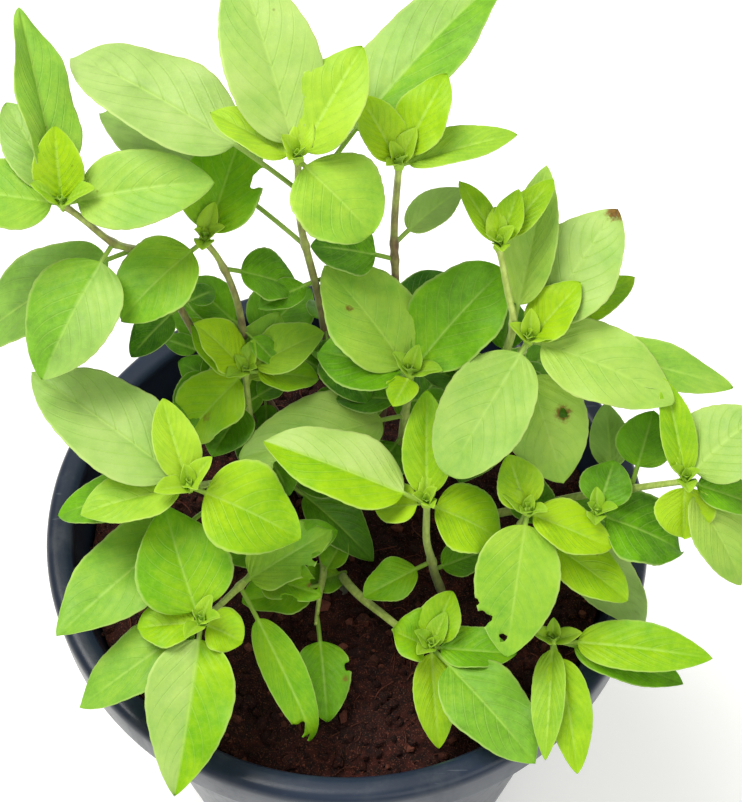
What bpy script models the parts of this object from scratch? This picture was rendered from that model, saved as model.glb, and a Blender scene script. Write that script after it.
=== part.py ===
"""Potted holy basil: a bushy clump of leafy shoots rooted in cocopeat, in a round plastic pot.

Metres, +Z up. The origin is the middle of the flat underside of the pot. -Y is the front,
the side where the clump is open and the soil shows.
"""
import math

import bmesh
import bpy
from mathutils import Vector

# ---------------------------------------------------------------- driving dimensions
RIM_RADIUS = 0.100        # outside of the rim band
POT_HEIGHT = 0.165        # underside to rim top
RIM_WIDTH = 0.0096        # flat-topped thick rim, inside to outside
BAND_HEIGHT = 0.0168      # outer skirt of the rim
WALL = 0.0026             # side wall thickness
FLOOR = 0.0030            # pot floor thickness
FOOT_RADIUS = 0.060       # outside of the foot
SOIL_DROP = 0.016         # rim top to soil surface
CORNER = 0.004            # chamfer between the pot floor and its wall, inside
DRAIN_RADIUS = 0.0055     # drainage holes in the floor
DRAIN_CIRCLE = 0.040      # circle the drainage holes are spaced on
DRAIN_COUNT = 6

FIT_GAP = 0.0004          # clearance between pieces that touch or rest
STEM_BASE = 0.0018        # stem radius where it leaves the soil
STEM_TIP = 0.0011         # stem radius under the tip bud
PETIOLE_HALF = 0.0008     # half width of a leaf stalk
LEAF_THICK = 0.0009       # leaf thickness
BUD_RADIUS = 0.0026       # growing tip that joins the youngest leaves

ROUND_STEPS = 64          # facets round the pot
LEAF_STEPS = 6            # rows of facets along a leaf
STEM_STEPS = 2            # tube sections between two points of a shoot

UNIT = RIM_RADIUS / 100   # the plant is laid out in hundredths of the rim radius
SOIL_TOP = POT_HEIGHT - SOIL_DROP

# Shoots: points of the stem's middle line (x, y, height above the soil), soil to tip.
SHOOTS = {
    "back_left": [(-16, 22, 0), (-42, 31, 62), (-59, 35, 112), (-70, 30, 131), (-77, 29, 143), (-83, 31, 148)],
    "left_thin": [(-16, 37, 0), (-30, 36, 50), (-34, 31, 100), (-38, 32, 118), (-42, 31, 130)],
    "back_tall": [(-1, 32, 0), (-7, 35, 80), (-13, 32, 135), (-13, 27, 174)],
    "back_right": [(9, 33, 0), (15, 33, 80), (15, 39, 125), (16, 36, 160)],
    "right_tall": [(25, 27, 0), (43, 20, 60), (51, 15, 104), (49, 20, 120), (46, 26, 134)],
    "right_mid": [(35, 29, 0), (50, 26, 60), (56, 12, 105)],
    "centre": [(16, 23, 0), (19, 15, 58), (20, 7, 94)],
    "left_mid": [(-26, 14, 0), (-31, 18, 45), (-32, 22, 73)],
    "left_low": [(-8, 21, 0), (-28, -4, 50), (-47, -28, 85)],
    "front_left": [(-8, 12, 0), (-25, -22, 30), (-44, -59, 56)],
    "front": [(31, -16, 0), (26, -24, 40), (25, -25, 70)],
    "front_right": [(41, -5, 0), (51, -21, 35), (56, -28, 70)],
    "rim_right": [(44, -13, 0), (60, -45, 26), (65, -53, 33)],
    "right_low": [(41, 11, 0), (81, -9, 50), (103, -26, 85)],
    "right_inner": [(48, 3, 0), (68, -17, 40), (78, -24, 62)],
    "runner": [(2, -9, 0), (-1, -17, 9), (13, -37, 18), (27, -51, 25)],
    "drooping": [(-9, 3, 0), (-8, -15, 11), (-10, -37, 14)],
}

# Young leaves joined at a shoot's tip bud:
# (direction, lift, length, width, stalk, arch, fold, roll), angles in degrees.
TIP_LEAVES = {
    "back_left": [(105, 35, 59, 19, 6, 20, 30, 30), (120, 15, 37, 17, 5, 20, 10, 0),
                  (95, 55, 24, 15, 2, 15, 25, 0), (175, 5, 35, 22, 3, 25, 10, -10),
                  (2, 11, 46, 23, 5, 25, 12, 20)],
    "left_thin": [(218, -23, 35, 25, 5, 25, 10, 0), (70, 25, 37, 25, 3, 25, 20, 0)],
    "back_tall": [(110, 30, 60, 27, 5, 25, 12, 0), (55, 30, 37, 22, 3, 20, 20, 0),
                  (152, 10, 29, 16, 3, 20, 15, 10), (320, -22, 30, 29, 3, 25, 5, 0)],
    "back_right": [(130, 40, 24, 14, 2, 15, 20, 0), (55, 35, 30, 16, 4, 15, 15, 0),
                   (15, 5, 36, 13, 3, 15, 25, 0)],
    "right_tall": [(120, 15, 24, 8, 2, 30, 25, 0), (65, 40, 18, 9, 2, 15, 15, 0),
                   (50, 15, 27, 10, 4, 15, 10, 0)],
    "right_mid": [(50, 30, 48, 27, 8, 20, 8, 0), (35, 35, 24, 16, 2, 15, 20, 0),
                  (235, -25, 48, 27, 5, 25, 8, 0), (35, 0, 41, 14, 12, 15, 10, 0),
                  (335, -10, 48, 24, 4, 25, 10, 15),
                  (350, -3, 64, 16, 17, 20, 10, 10)],
    "centre": [(43, 24, 43, 28, 3, 20, 12, 0), (131, 20, 43, 29, 3, 20, 12, 0),
               (162, -8, 30, 24, 3, 25, 12, 0), (245, 0, 13, 10, 2, 15, 20, 0)],
    "left_mid": [(20, 18, 28, 17, 4, 20, 14, 0), (160, 50, 25, 16, 3, 20, 14, 0),
                 (217, -32, 31, 22, 3, 25, 18, 0), (3, -14, 24, 14, 4, 20, 14, 0)],
    "left_low": [(145, 10, 61, 29, 6, 25, 12, 0), (110, 30, 28, 14, 2, 15, 25, 0),
                 (193, -6, 34, 18, 3, 15, 15, 0), (345, -25, 38, 29, 5, 25, 10, 10),
                 (180, -22, 45, 17, 14, 20, 12, 0)],
    "front_left": [(110, 27, 38, 29, 4, 20, 12, 0), (180, -10, 20, 17, 2, 20, 15, 0),
                   (340, -15, 14, 15, 2, 20, 15, 0), (260, -30, 53, 26, 5, 20, 14, 0)],
    "front": [(90, 35, 35, 15, 3, 15, 22, 0), (175, -20, 17, 14, 3, 15, 15, 0),
              (345, -25, 27, 23, 3, 25, 8, 0), (162, 11, 54, 24, 8, 25, 14, 0)],
    "front_right": [(115, 40, 19, 15, 2, 15, 22, 0), (345, -20, 29, 17, 2, 20, 15, 0),
                    (260, -35, 45, 25, 4, 20, 8, 0)],
    "rim_right": [(350, 5, 50, 16, 8, 20, 16, 10), (265, -15, 38, 11, 3, 20, 25, 20),
                  (280, -20, 42, 14, 6, 20, 14, 0)],
    "right_low": [(105, 35, 32, 11, 2, 15, 25, 0), (35, 25, 31, 25, 4, 25, 10, 0),
                  (270, -45, 18, 18, 2, 20, 15, 0), (350, -20, 26, 14, 4, 20, 15, 0),
                  (310, -40, 38, 18, 5, 25, 12, 0)],
    "right_inner": [(345, -20, 30, 25, 3, 25, 10, 0), (70, 20, 18, 16, 3, 20, 10, 0)],
    "runner": [(170, 30, 15, 19, 2, 10, 30, 0), (65, 35, 19, 14, 2, 15, 25, 0),
               (275, -30, 32, 13, 2, 20, 12, 0), (355, 0, 27, 15, 3, 15, 25, 0),
               (310, -5, 50, 24, 9, 25, 10, 0)],
}

# Leaves set on the side of a stem:
# (shoot, share of the stem, direction, lift, length, width, stalk, arch, fold, roll).
SIDE_LEAVES = [
    ("back_left", 0.86, 240, -25, 44, 28, 5, 30, 10, 0),
    ("back_left", 0.80, 200, -25, 60, 27, 6, 30, 10, 0),
    ("left_thin", 0.88, 0, -25, 22, 18, 3, 20, 15, 0),
    ("back_tall", 0.90, 147, 6, 80, 29, 20, 40, 10, 0),
    ("back_tall", 0.72, 144, 6, 77, 25, 26, 20, 10, 0),
    ("back_tall", 0.84, 46, 21, 90, 27, 26, 20, 15, 0),
    ("back_right", 0.74, 40, 10, 26, 12, 4, 15, 10, 0),
    ("back_right", 0.70, 180, 15, 24, 20, 4, 20, 10, 0),
    ("right_tall", 0.80, 76, 36, 46, 16, 3, 15, 28, 0),
    ("right_mid", 0.88, 292, -35, 41, 26, 6, 25, 10, 0),
    ("centre", 0.62, 196, -2, 53, 27, 6, 25, 12, 0),
    ("left_thin", 0.46, 145, 20, 33, 21, 4, 20, 12, 0),
    ("left_thin", 0.50, 45, 15, 27, 23, 4, 20, 12, 0),
    ("left_low", 0.30, 326, -30, 35, 18, 3, 20, 25, 0),
    ("left_low", 0.62, 224, -1, 77, 26, 24, 20, 12, 0),
    ("front_left", 0.92, 210, -20, 48, 20, 5, 25, 10, 0),
    ("front_left", 0.62, 335, 10, 22, 15, 2, 20, 20, 0),
    ("right_inner", 0.62, 315, -15, 39, 19, 6, 20, 10, 0),
    ("front", 0.42, 205, -12, 22, 14, 3, 15, 10, 0),
    ("front_right", 0.86, 330, -20, 39, 19, 6, 20, 12, 0),
    ("right_low", 0.74, 70, 40, 23, 17, 5, 20, 10, 0),
    ("right_low", 0.66, 95, 25, 26, 12, 5, 20, 10, 0),
    ("drooping", 0.92, 276, -14, 30, 17, 4, 20, 14, 0),
    ("drooping", 0.64, 205, 20, 27, 19, 4, 15, 25, 0),
    ("front_left", 0.72, 300, -30, 52, 13, 9, 25, 12, 0),
]


# ---------------------------------------------------------------- scene and collections
for old in list(bpy.data.objects):
    bpy.data.objects.remove(old)

PLANT = bpy.data.collections.new("potted_holy_basil")
HELPERS = bpy.data.collections.new("helpers")
for group in (PLANT, HELPERS):
    bpy.context.scene.collection.children.link(group)
HELPERS.hide_render = True


def principled(name, colour, roughness):
    """A plain non-metal material."""
    mat = bpy.data.materials.new(name)
    mat.use_nodes = True
    shader = mat.node_tree.nodes["Principled BSDF"]
    shader.inputs["Base Color"].default_value = (*colour, 1.0)
    shader.inputs["Roughness"].default_value = roughness
    shader.inputs["Metallic"].default_value = 0.0
    mat.diffuse_color = (*colour, 1.0)
    return mat


def pot_plastic():
    return principled("pot_plastic", (0.028, 0.036, 0.048), 0.42)


def soil_cocopeat():
    return principled("soil_cocopeat", (0.045, 0.014, 0.010), 0.95)


def stem_green():
    return principled("stem_green", (0.30, 0.42, 0.07), 0.55)


def leaf_green():
    return principled("leaf_green", (0.24, 0.50, 0.02), 0.50)


def young_leaf_green():
    return principled("young_leaf_green", (0.36, 0.64, 0.03), 0.48)


def add_mesh(name, bm, mat, group=PLANT):
    """Turn a bmesh into a named object with its material."""
    mesh = bpy.data.meshes.new(name)
    bm.to_mesh(mesh)
    bm.free()
    mesh.materials.append(mat)
    obj = bpy.data.objects.new(name, mesh)
    group.objects.link(obj)
    return obj


def cutter(obj):
    """Mark a helper that shapes another object and is not a piece itself."""
    obj.hide_render = True
    obj.display_type = "WIRE"
    return obj


# ---------------------------------------------------------------- pot and soil
def wall_outside(z):
    """Outside radius of the tapered wall at height z, under the rim band."""
    top = RIM_RADIUS - RIM_WIDTH + WALL
    return FOOT_RADIUS + (top - FOOT_RADIUS) * z / POT_HEIGHT


def turned(name, profile, mat):
    """Turn an open profile of (radius, height) about Z; both ends lie on the axis."""
    bm = bmesh.new()
    verts = [bm.verts.new((r, 0.0, z)) for r, z in profile]
    for a, b in zip(verts, verts[1:]):
        bm.edges.new((a, b))
    obj = add_mesh(name, bm, mat)
    screw = obj.modifiers.new("turn", "SCREW")
    screw.axis = "Z"
    screw.steps = screw.render_steps = ROUND_STEPS
    screw.use_merge_vertices = True
    screw.merge_threshold = 0.00001
    screw.use_smooth_shade = True
    return obj


def make_pot(mat):
    """Tapered pot with a thick rounded rim, an outer skirt under it and a drained floor."""
    inner = RIM_RADIUS - RIM_WIDTH
    band = POT_HEIGHT - BAND_HEIGHT
    ease = RIM_WIDTH * 0.22
    profile = [
        (0.0, FLOOR),
        (wall_outside(FLOOR) - WALL - CORNER, FLOOR),
        (wall_outside(FLOOR + CORNER) - WALL, FLOOR + CORNER),
        (inner, POT_HEIGHT - 2 * ease),
        (inner + 0.3 * ease, POT_HEIGHT - 0.5 * ease),
        (inner + ease, POT_HEIGHT),
        (RIM_RADIUS - 1.5 * ease, POT_HEIGHT),
        (RIM_RADIUS - 0.45 * ease, POT_HEIGHT - 0.45 * ease),
        (RIM_RADIUS, POT_HEIGHT - 1.5 * ease),
        (RIM_RADIUS - 0.0012, band + 0.0010),
        (RIM_RADIUS - 0.0022, band),
        (wall_outside(band) + 0.0012, band),
        (wall_outside(band - 0.0015), band - 0.0015),
        (FOOT_RADIUS + 0.0004, 0.0022),
        (FOOT_RADIUS - 0.0022, 0.0),
        (0.0, 0.0),
    ]
    pot = turned("pot", profile, mat)
    bm = bmesh.new()
    for i in range(DRAIN_COUNT):
        turn = math.tau * (i + 0.5) / DRAIN_COUNT
        made = bmesh.ops.create_cone(bm, cap_ends=True, segments=16, radius1=DRAIN_RADIUS,
                                     radius2=DRAIN_RADIUS, depth=4 * FLOOR)
        bmesh.ops.translate(bm, verts=made["verts"], vec=(DRAIN_CIRCLE * math.cos(turn),
                                                          DRAIN_CIRCLE * math.sin(turn), 0.0))
    drill = cutter(add_mesh("drain_drill", bm, mat, HELPERS))
    cut = pot.modifiers.new("drains", "BOOLEAN")
    cut.operation = "DIFFERENCE"
    cut.solver = "EXACT"
    cut.object = drill
    return pot


def make_soil(mat):
    """Root ball of cocopeat that fills the pot's taper, a little lower at the wall."""
    low = SOIL_TOP - 0.003
    gap = WALL + FIT_GAP
    corner = CORNER + 2 * FIT_GAP
    profile = [
        (0.0, SOIL_TOP),
        (0.80 * wall_outside(low), SOIL_TOP),
        (wall_outside(low) - gap - 0.0015, low),
        (wall_outside(low - 0.003) - gap, low - 0.003),
        (wall_outside(FLOOR + corner) - gap, FLOOR + corner),
        (wall_outside(FLOOR) - gap - corner, FLOOR + FIT_GAP),
        (0.0, FLOOR + FIT_GAP),
    ]
    return turned("soil", profile, mat)


# ---------------------------------------------------------------- shoots
def shoot_path(points):
    """Smooth middle line through a shoot's points (Catmull-Rom), in metres."""
    pts = [Vector((x * UNIT, y * UNIT, SOIL_TOP + FIT_GAP + z * UNIT)) for x, y, z in points]
    pts = [2 * pts[0] - pts[1], *pts, 2 * pts[-1] - pts[-2]]
    line = []
    for a, b, c, d in zip(pts, pts[1:], pts[2:], pts[3:]):
        for k in range(STEM_STEPS):
            t = k / STEM_STEPS
            line.append(0.5 * (2 * b + (c - a) * t + (2 * a - 5 * b + 4 * c - d) * t * t
                               + (3 * b - a - 3 * c + d) * t ** 3))
    line.append(pts[-2])
    slope = line[1] - line[0]
    line[0].z += 1.15 * STEM_BASE * math.hypot(slope.x, slope.y) / slope.length
    return line


def along(line, share):
    """Point, direction and stem radius at a share of the line's length."""
    steps = [(b - a).length for a, b in zip(line, line[1:])]
    left = share * sum(steps)
    for a, b, step in zip(line, line[1:], steps):
        if left <= step:
            break
        left -= step
    radius = STEM_BASE + (STEM_TIP - STEM_BASE) * share
    return a.lerp(b, min(1.0, left / step)), (b - a).normalized(), radius


def make_stem(name, line, crowned, mat):
    """Tapered round stem; a crowned one ends just under its tip bud."""
    curve = bpy.data.curves.new(name, "CURVE")
    curve.dimensions = "3D"
    curve.bevel_depth = 1.0
    curve.bevel_resolution = 2
    curve.use_fill_caps = True
    line = list(line)
    if crowned:
        tangent = (line[-1] - line[-2]).normalized()
        line[-1] = line[-1] - tangent * (0.95 * BUD_RADIUS + FIT_GAP)
    spline = curve.splines.new("POLY")
    spline.points.add(len(line) - 1)
    for i, (point, co) in enumerate(zip(spline.points, line)):
        point.co = (*co, 1.0)
        point.radius = STEM_BASE + (STEM_TIP - STEM_BASE) * i / (len(line) - 1)
    curve.materials.append(mat)
    obj = bpy.data.objects.new(name, curve)
    PLANT.objects.link(obj)
    return obj


# ---------------------------------------------------------------- leaves
def leaf_bmesh(start, shape):
    """Ovate blade on a short stalk: a grid bent along an arc, folded about its midrib."""
    direction, lift, length, width, stalk, arch, fold, roll = shape
    turn, lift, arch, fold, roll = (math.radians(v) for v in (direction, lift, arch, fold, roll))
    length, width, stalk = length * UNIT, width * UNIT, stalk * UNIT
    ahead = Vector((math.cos(turn), math.sin(turn), 0.0))
    aside = Vector((-math.sin(turn), math.cos(turn), 0.0))
    up = Vector((0.0, 0.0, 1.0))
    pitch0 = lift + arch / 2
    chord = 2 * math.sin(arch / 2) / arch
    widest = (0.62 / 1.47) ** 0.62 * (0.85 / 1.47) ** 0.85
    bm = bmesh.new()
    bmesh.ops.create_grid(bm, x_segments=LEAF_STEPS, y_segments=2, size=1.0)
    rows = [0.0, stalk / length, 0.0, 0.0, 0.0, 0.0, 1.0]
    for i in range(2, LEAF_STEPS):
        rows[i] = rows[1] + (1.0 - rows[1]) * (0.16, 0.42, 0.68, 0.88)[i - 2]
    for vert in bm.verts:
        s = rows[round((vert.co.x + 1) / 2 * LEAF_STEPS)]
        v = vert.co.y
        pitch = pitch0 - arch * s
        run = (math.sin(pitch0) - math.sin(pitch)) / arch / chord * length
        rise = (math.cos(pitch) - math.cos(pitch0)) / arch / chord * length
        above = up * math.cos(pitch) - ahead * math.sin(pitch)
        across = aside * math.cos(roll) + above * math.sin(roll)
        face = above * math.cos(roll) - aside * math.sin(roll)
        q = max(0.0, (s - rows[1]) / (1.0 - rows[1]))
        half = width / 2 * q ** 0.62 * max(0.0, 1.0 - q) ** 0.85 / widest
        half = max(half, PETIOLE_HALF if q < 0.5 else 0.6 * PETIOLE_HALF)
        vert.co = (start + ahead * run + up * rise + across * (v * half * math.cos(fold))
                   + face * (abs(v) * half * math.sin(fold)))
    return bm


def leaf_solid(name, start, shape, mat, group=PLANT):
    """One leaf with its thickness."""
    obj = add_mesh(name, leaf_bmesh(start, shape), mat, group)
    shell = obj.modifiers.new("thickness", "SOLIDIFY")
    shell.thickness = LEAF_THICK
    shell.offset = 0.0
    return obj


def make_tip(name, line, shapes, mat):
    """Tip bud with the shoot's youngest leaves grown out of it, as one body."""
    bm = bmesh.new()
    bmesh.ops.create_icosphere(bm, subdivisions=1, radius=BUD_RADIUS)
    bmesh.ops.translate(bm, verts=bm.verts, vec=line[-1])
    bud = add_mesh(name, bm, mat)
    for i, shape in enumerate(shapes):
        leaf = cutter(leaf_solid(f"{name}_{i + 1}", line[-1], shape, mat, HELPERS))
        join = bud.modifiers.new(f"leaf_{i + 1}", "BOOLEAN")
        join.operation = "UNION"
        join.solver = "EXACT"
        join.object = leaf
    return bud


def make_side_leaf(name, line, share, shape, mat):
    """A leaf whose stalk starts just clear of its stem."""
    point, tangent, radius = along(line, share)
    turn, pitch = math.radians(shape[0]), math.radians(shape[1] + shape[5] / 2)
    out = Vector((math.cos(turn) * math.cos(pitch), math.sin(turn) * math.cos(pitch), math.sin(pitch)))
    slant = max(0.4, out.cross(tangent).length)
    start = point + out * ((radius + LEAF_THICK / 2 + FIT_GAP) / slant)
    return leaf_solid(name, start, shape, mat)


# ---------------------------------------------------------------- assembly
def build():
    green, young, stalk = leaf_green(), young_leaf_green(), stem_green()
    make_pot(pot_plastic())
    make_soil(soil_cocopeat())
    lines = {name: shoot_path(points) for name, points in SHOOTS.items()}
    for name, line in lines.items():
        make_stem(f"stem_{name}", line, name in TIP_LEAVES, stalk)
    for name, shapes in TIP_LEAVES.items():
        make_tip(f"tip_{name}", lines[name], shapes, young)
    count = {}
    for shoot, share, *shape in SIDE_LEAVES:
        count[shoot] = count.get(shoot, 0) + 1
        make_side_leaf(f"leaf_{shoot}_{count[shoot]}", lines[shoot], share, shape, green)


build()
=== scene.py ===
"""Looks of a potted holy basil: fine leaves, stems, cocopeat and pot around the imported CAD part.

Metres, +Z up, the pot's underside on z = 0, the front towards -Y.
"""
import math

import bpy
import numpy as np
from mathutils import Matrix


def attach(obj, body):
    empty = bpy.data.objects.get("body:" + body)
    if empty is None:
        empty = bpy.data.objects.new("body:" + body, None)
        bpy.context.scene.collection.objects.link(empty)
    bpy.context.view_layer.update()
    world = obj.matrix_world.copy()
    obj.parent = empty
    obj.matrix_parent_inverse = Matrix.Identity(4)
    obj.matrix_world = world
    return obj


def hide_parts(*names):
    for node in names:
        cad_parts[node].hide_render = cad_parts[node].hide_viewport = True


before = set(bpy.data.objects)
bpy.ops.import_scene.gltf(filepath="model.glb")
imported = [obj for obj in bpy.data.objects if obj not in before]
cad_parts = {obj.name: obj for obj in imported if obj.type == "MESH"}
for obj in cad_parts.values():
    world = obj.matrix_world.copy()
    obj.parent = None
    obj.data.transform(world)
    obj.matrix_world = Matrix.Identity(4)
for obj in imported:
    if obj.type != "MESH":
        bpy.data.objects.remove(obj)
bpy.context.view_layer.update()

# ---- sizes shared with the CAD part
RIM_RADIUS, POT_HEIGHT, RIM_WIDTH, BAND_HEIGHT = 0.100, 0.165, 0.0096, 0.0168
WALL, FLOOR, CORNER, FOOT_RADIUS, SOIL_DROP = 0.0026, 0.0030, 0.004, 0.060, 0.016
DRAIN_RADIUS, DRAIN_CIRCLE, DRAIN_COUNT = 0.0055, 0.040, 6
FIT_GAP, STEM_BASE, STEM_TIP, LEAF_THICK = 0.0004, 0.0018, 0.0011, 0.0009
UNIT = RIM_RADIUS / 100
SOIL_TOP = POT_HEIGHT - SOIL_DROP

# The next three tables are the part's own. They began as the rounded output of a layout script that isn't
# kept, and were then changed in places by hand.
# Shoots: points of the stem's middle line (x, y, height above the soil), soil to tip, in UNIT.
SHOOTS = {
    "back_left": [(-16, 22, 0), (-42, 31, 62), (-59, 35, 112), (-70, 30, 131), (-77, 29, 143),
                  (-83, 31, 148)],
    "left_thin": [(-16, 37, 0), (-30, 36, 50), (-34, 31, 100), (-38, 32, 118), (-42, 31, 130)],
    "back_tall": [(-1, 32, 0), (-7, 35, 80), (-13, 32, 135), (-13, 27, 174)],
    "back_right": [(9, 33, 0), (15, 33, 80), (15, 39, 125), (16, 36, 160)],
    "right_tall": [(25, 27, 0), (43, 20, 60), (51, 15, 104), (49, 20, 120), (46, 26, 134)],
    "right_mid": [(35, 29, 0), (50, 26, 60), (56, 12, 105)],
    "centre": [(16, 23, 0), (19, 15, 58), (20, 7, 94)],
    "left_mid": [(-26, 14, 0), (-31, 18, 45), (-32, 22, 73)],
    "left_low": [(-8, 21, 0), (-28, -4, 50), (-47, -28, 85)],
    "front_left": [(-8, 12, 0), (-25, -22, 30), (-44, -59, 56)],
    "front": [(31, -16, 0), (26, -24, 40), (25, -25, 70)],
    "front_right": [(41, -5, 0), (51, -21, 35), (56, -28, 70)],
    "rim_right": [(44, -13, 0), (60, -45, 26), (65, -53, 33)],
    "right_low": [(41, 11, 0), (81, -9, 50), (103, -26, 85)],
    "right_inner": [(48, 3, 0), (68, -17, 40), (78, -24, 62)],
    "runner": [(2, -9, 0), (-1, -17, 9), (13, -37, 18), (27, -51, 25)],
    "drooping": [(-9, 3, 0), (-8, -15, 11), (-10, -37, 14)],
}

# Young leaves joined at a shoot's tip bud:
# (direction, lift, length, width, stalk, arch, fold, roll), angles in degrees.
TIP_LEAVES = {
    "back_left": [(105, 35, 59, 19, 6, 20, 30, 30), (120, 15, 37, 17, 5, 20, 10, 0),
                  (95, 55, 24, 15, 2, 15, 25, 0), (175, 5, 35, 22, 3, 25, 10, -10),
                  (2, 11, 46, 23, 5, 25, 12, 20)],
    "left_thin": [(218, -23, 35, 25, 5, 25, 10, 0), (70, 25, 37, 25, 3, 25, 20, 0)],
    "back_tall": [(110, 30, 60, 27, 5, 25, 12, 0), (55, 30, 37, 22, 3, 20, 20, 0),
                  (152, 10, 29, 16, 3, 20, 15, 10), (320, -22, 30, 29, 3, 25, 5, 0)],
    "back_right": [(130, 40, 24, 14, 2, 15, 20, 0), (55, 35, 30, 16, 4, 15, 15, 0),
                   (15, 5, 36, 13, 3, 15, 25, 0)],
    "right_tall": [(120, 15, 24, 8, 2, 30, 25, 0), (65, 40, 18, 9, 2, 15, 15, 0),
                   (50, 15, 27, 10, 4, 15, 10, 0)],
    "right_mid": [(50, 30, 48, 27, 8, 20, 8, 0), (35, 35, 24, 16, 2, 15, 20, 0),
                  (235, -25, 48, 27, 5, 25, 8, 0), (35, 0, 41, 14, 12, 15, 10, 0),
                  (335, -10, 48, 24, 4, 25, 10, 15),
                  (350, -3, 64, 16, 17, 20, 10, 10)],
    "centre": [(43, 24, 43, 28, 3, 20, 12, 0), (131, 20, 43, 29, 3, 20, 12, 0),
               (162, -8, 30, 24, 3, 25, 12, 0), (245, 0, 13, 10, 2, 15, 20, 0)],
    "left_mid": [(20, 18, 28, 17, 4, 20, 14, 0), (160, 50, 25, 16, 3, 20, 14, 0),
                 (217, -32, 31, 22, 3, 25, 18, 0), (3, -14, 24, 14, 4, 20, 14, 0)],
    "left_low": [(145, 10, 61, 29, 6, 25, 12, 0), (110, 30, 28, 14, 2, 15, 25, 0),
                 (193, -6, 34, 18, 3, 15, 15, 0), (345, -25, 38, 29, 5, 25, 10, 10),
                 (180, -22, 45, 17, 14, 20, 12, 0)],
    "front_left": [(110, 27, 38, 29, 4, 20, 12, 0), (180, -10, 20, 17, 2, 20, 15, 0),
                   (340, -15, 14, 15, 2, 20, 15, 0), (260, -30, 53, 26, 5, 20, 14, 0)],
    "front": [(90, 35, 35, 15, 3, 15, 22, 0), (175, -20, 17, 14, 3, 15, 15, 0),
              (345, -25, 27, 23, 3, 25, 8, 0), (162, 11, 54, 24, 8, 25, 14, 0)],
    "front_right": [(115, 40, 19, 15, 2, 15, 22, 0), (345, -20, 29, 17, 2, 20, 15, 0),
                    (260, -35, 45, 25, 4, 20, 8, 0)],
    "rim_right": [(350, 5, 50, 16, 8, 20, 16, 10), (265, -15, 38, 11, 3, 20, 25, 20),
                  (280, -20, 42, 14, 6, 20, 14, 0)],
    "right_low": [(105, 35, 32, 11, 2, 15, 25, 0), (35, 25, 31, 25, 4, 25, 10, 0),
                  (270, -45, 18, 18, 2, 20, 15, 0), (350, -20, 26, 14, 4, 20, 15, 0),
                  (310, -40, 38, 18, 5, 25, 12, 0)],
    "right_inner": [(345, -20, 30, 25, 3, 25, 10, 0), (70, 20, 18, 16, 3, 20, 10, 0)],
    "runner": [(170, 30, 15, 19, 2, 10, 30, 0), (65, 35, 19, 14, 2, 15, 25, 0),
               (275, -30, 32, 13, 2, 20, 12, 0), (355, 0, 27, 15, 3, 15, 25, 0),
               (310, -5, 50, 24, 9, 25, 10, 0)],
}

# Leaves set on the side of a stem:
# (shoot, share of the stem, direction, lift, length, width, stalk, arch, fold, roll).
SIDE_LEAVES = [
    ("back_left", 0.86, 240, -25, 44, 28, 5, 30, 10, 0),
    ("back_left", 0.80, 200, -25, 60, 27, 6, 30, 10, 0),
    ("left_thin", 0.88, 0, -25, 22, 18, 3, 20, 15, 0),
    ("back_tall", 0.90, 147, 6, 80, 29, 20, 40, 10, 0),
    ("back_tall", 0.72, 144, 6, 77, 25, 26, 20, 10, 0),
    ("back_tall", 0.84, 46, 21, 90, 27, 26, 20, 15, 0),
    ("back_right", 0.74, 40, 10, 26, 12, 4, 15, 10, 0),
    ("back_right", 0.70, 180, 15, 24, 20, 4, 20, 10, 0),
    ("right_tall", 0.80, 76, 36, 46, 16, 3, 15, 28, 0),
    ("right_mid", 0.88, 292, -35, 41, 26, 6, 25, 10, 0),
    ("centre", 0.62, 196, -2, 53, 27, 6, 25, 12, 0),
    ("left_thin", 0.46, 145, 20, 33, 21, 4, 20, 12, 0),
    ("left_thin", 0.50, 45, 15, 27, 23, 4, 20, 12, 0),
    ("left_low", 0.30, 326, -30, 35, 18, 3, 20, 25, 0),
    ("left_low", 0.62, 224, -1, 77, 26, 24, 20, 12, 0),
    ("front_left", 0.92, 210, -20, 48, 20, 5, 25, 10, 0),
    ("front_left", 0.62, 335, 10, 22, 15, 2, 20, 20, 0),
    ("right_inner", 0.62, 315, -15, 39, 19, 6, 20, 10, 0),
    ("front", 0.42, 205, -12, 22, 14, 3, 15, 10, 0),
    ("front_right", 0.86, 330, -20, 39, 19, 6, 20, 12, 0),
    ("right_low", 0.74, 70, 40, 23, 17, 5, 20, 10, 0),
    ("right_low", 0.66, 95, 25, 26, 12, 5, 20, 10, 0),
    ("drooping", 0.92, 276, -14, 30, 17, 4, 20, 14, 0),
    ("drooping", 0.64, 205, 20, 27, 19, 4, 15, 25, 0),
    ("front_left", 0.72, 300, -30, 52, 13, 9, 25, 12, 0),
]


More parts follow.
